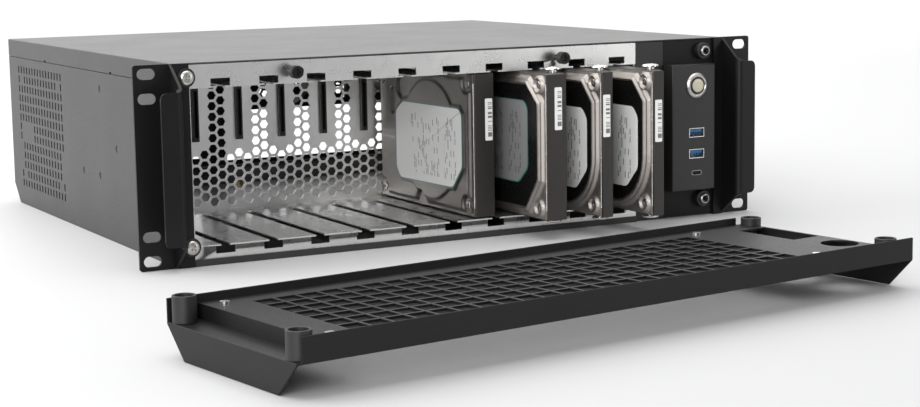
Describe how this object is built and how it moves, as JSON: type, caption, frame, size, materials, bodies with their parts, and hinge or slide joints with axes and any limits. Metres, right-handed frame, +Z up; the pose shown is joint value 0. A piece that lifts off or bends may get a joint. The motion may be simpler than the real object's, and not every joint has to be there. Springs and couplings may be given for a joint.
{
  "type": "nas enclosure",
  "caption": "Rack-mount drive enclosure with slotted ears, folded handles, an open drive cage with drives on guide screws, a control panel and a detached filter cover.",
  "frame": {"origin": "centre of the rack-ear slots, on the front face of the ears", "axes": "+X right seen from the front, +Y to the back, +Z up"},
  "size_m": [0.552, 0.7523, 0.1324],
  "materials": {
    "black_paint": "satin fine-textured powder coat",
    "galvanised": "bare galvanised sheet with a faint spangle",
    "black_plastic": "matt moulded",
    "circuit_board": "green solder mask",
    "polished_steel": "bright plated",
    "black_screw": "black zinc",
    "button_lens": "translucent cream lens",
    "blue_plastic": "moulded",
    "brass": "turned",
    "drive_casting": "dark cast aluminium",
    "drive_cover": "pressed bright sheet",
    "filter_mesh": "fine woven nylon mesh"
  },
  "bodies": {
    "case": {"base_tray": "black_paint", "rear_panel": "black_paint", "ear_left": "black_paint", "ear_right": "black_paint", "handle_left": "black_paint", "handle_right": "black_paint", "cage_top": "galvanised", "cage_bottom": "galvanised", "cage_side_left": "galvanised", "cage_side_right": "galvanised", "backplane_plate": "galvanised", "backplane_boards": "circuit_board", "sata_connectors": "black_plastic", "end_plate": "black_paint", "control_plate": "black_paint", "control_box": "black_plastic", "button_bezel": "polished_steel", "button_switch": "black_plastic", "usb_shells": "polished_steel", "usb_tongues": "blue_plastic", "usb_c_shell": "polished_steel", "usb_c_tongue": "black_plastic", "io_board": "circuit_board", "cover_posts": "black_plastic", "post_screws": "polished_steel", "board_standoffs": "brass", "slot_covers": "galvanised", "slot_screws": "polished_steel", "fan_left_frame": "black_plastic", "fan_right_frame": "black_plastic", "fan_screws": "polished_steel"},
    "lid": {"lid": "black_paint", "lid_screws": "black_screw"},
    "button": {"power_button": "button_lens"},
    "screw_left": {"thumbscrew_left": "black_screw"},
    "screw_right": {"thumbscrew_right": "black_screw"},
    "fan_left": {"fan_left_rotor": "black_plastic"},
    "fan_right": {"fan_right_rotor": "black_plastic"},
    "front_cover": {"cover_frame": "black_paint", "cover_tray": "black_paint", "cover_filter": "filter_mesh", "cover_bosses": "black_plastic", "cover_screws": "polished_steel"},
    "drive_1": {"drive_1_case": "drive_casting", "drive_1_cover": "drive_cover", "drive_1_board": "circuit_board", "drive_1_screws": "polished_steel"},
    "drive_2": {"drive_2_case": "drive_casting", "drive_2_cover": "drive_cover", "drive_2_board": "circuit_board", "drive_2_screws": "polished_steel"},
    "drive_3": {"drive_3_case": "drive_casting", "drive_3_cover": "drive_cover", "drive_3_board": "circuit_board", "drive_3_screws": "polished_steel"},
    "drive_4": {"drive_4_case": "drive_casting", "drive_4_cover": "drive_cover", "drive_4_board": "circuit_board", "drive_4_screws": "polished_steel"}
  },
  "joints": [
    {"name": "lid_lift", "type": "slide", "parent": "case", "child": "lid", "axis": [0, 0, 1], "range_m": [0, 0.1]},
    {"name": "button_press", "type": "slide", "parent": "case", "child": "button", "axis": [0, 1, 0], "range_m": [0, 0.0015], "stiffness_N_per_m": 600},
    {"name": "thumbscrew_left_turn", "type": "hinge", "parent": "case", "child": "screw_left", "pos_m": [-0.13296, -0.006, 0.0575], "axis": [0, 1, 0], "continuous": true},
    {"name": "thumbscrew_right_turn", "type": "hinge", "parent": "case", "child": "screw_right", "pos_m": [0.07208, -0.006, 0.0575], "axis": [0, 1, 0], "continuous": true},
    {"name": "fan_left_spin", "type": "hinge", "parent": "case", "child": "fan_left", "pos_m": [0.014, 0.37, 0.029], "axis": [0, 1, 0], "continuous": true},
    {"name": "fan_right_spin", "type": "hinge", "parent": "case", "child": "fan_right", "pos_m": [0.084, 0.37, 0.029], "axis": [0, 1, 0], "continuous": true},
    {"name": "cover_lift", "type": "slide", "parent": "case", "child": "front_cover", "axis": [0, 0, 1], "range_m": [0, 0.15]},
    {"name": "drive_1_slide", "type": "slide", "parent": "case", "child": "drive_1", "axis": [0, -1, 0], "range_m": [0, 0.1514]},
    {"name": "drive_2_slide", "type": "slide", "parent": "case", "child": "drive_2", "axis": [0, -1, 0], "range_m": [-0.0414, 0.11]},
    {"name": "drive_3_slide", "type": "slide", "parent": "case", "child": "drive_3", "axis": [0, -1, 0], "range_m": [-0.0484, 0.103]},
    {"name": "drive_4_slide", "type": "slide", "parent": "case", "child": "drive_4", "axis": [0, -1, 0], "range_m": [-0.0614, 0.09]}
  ]
}
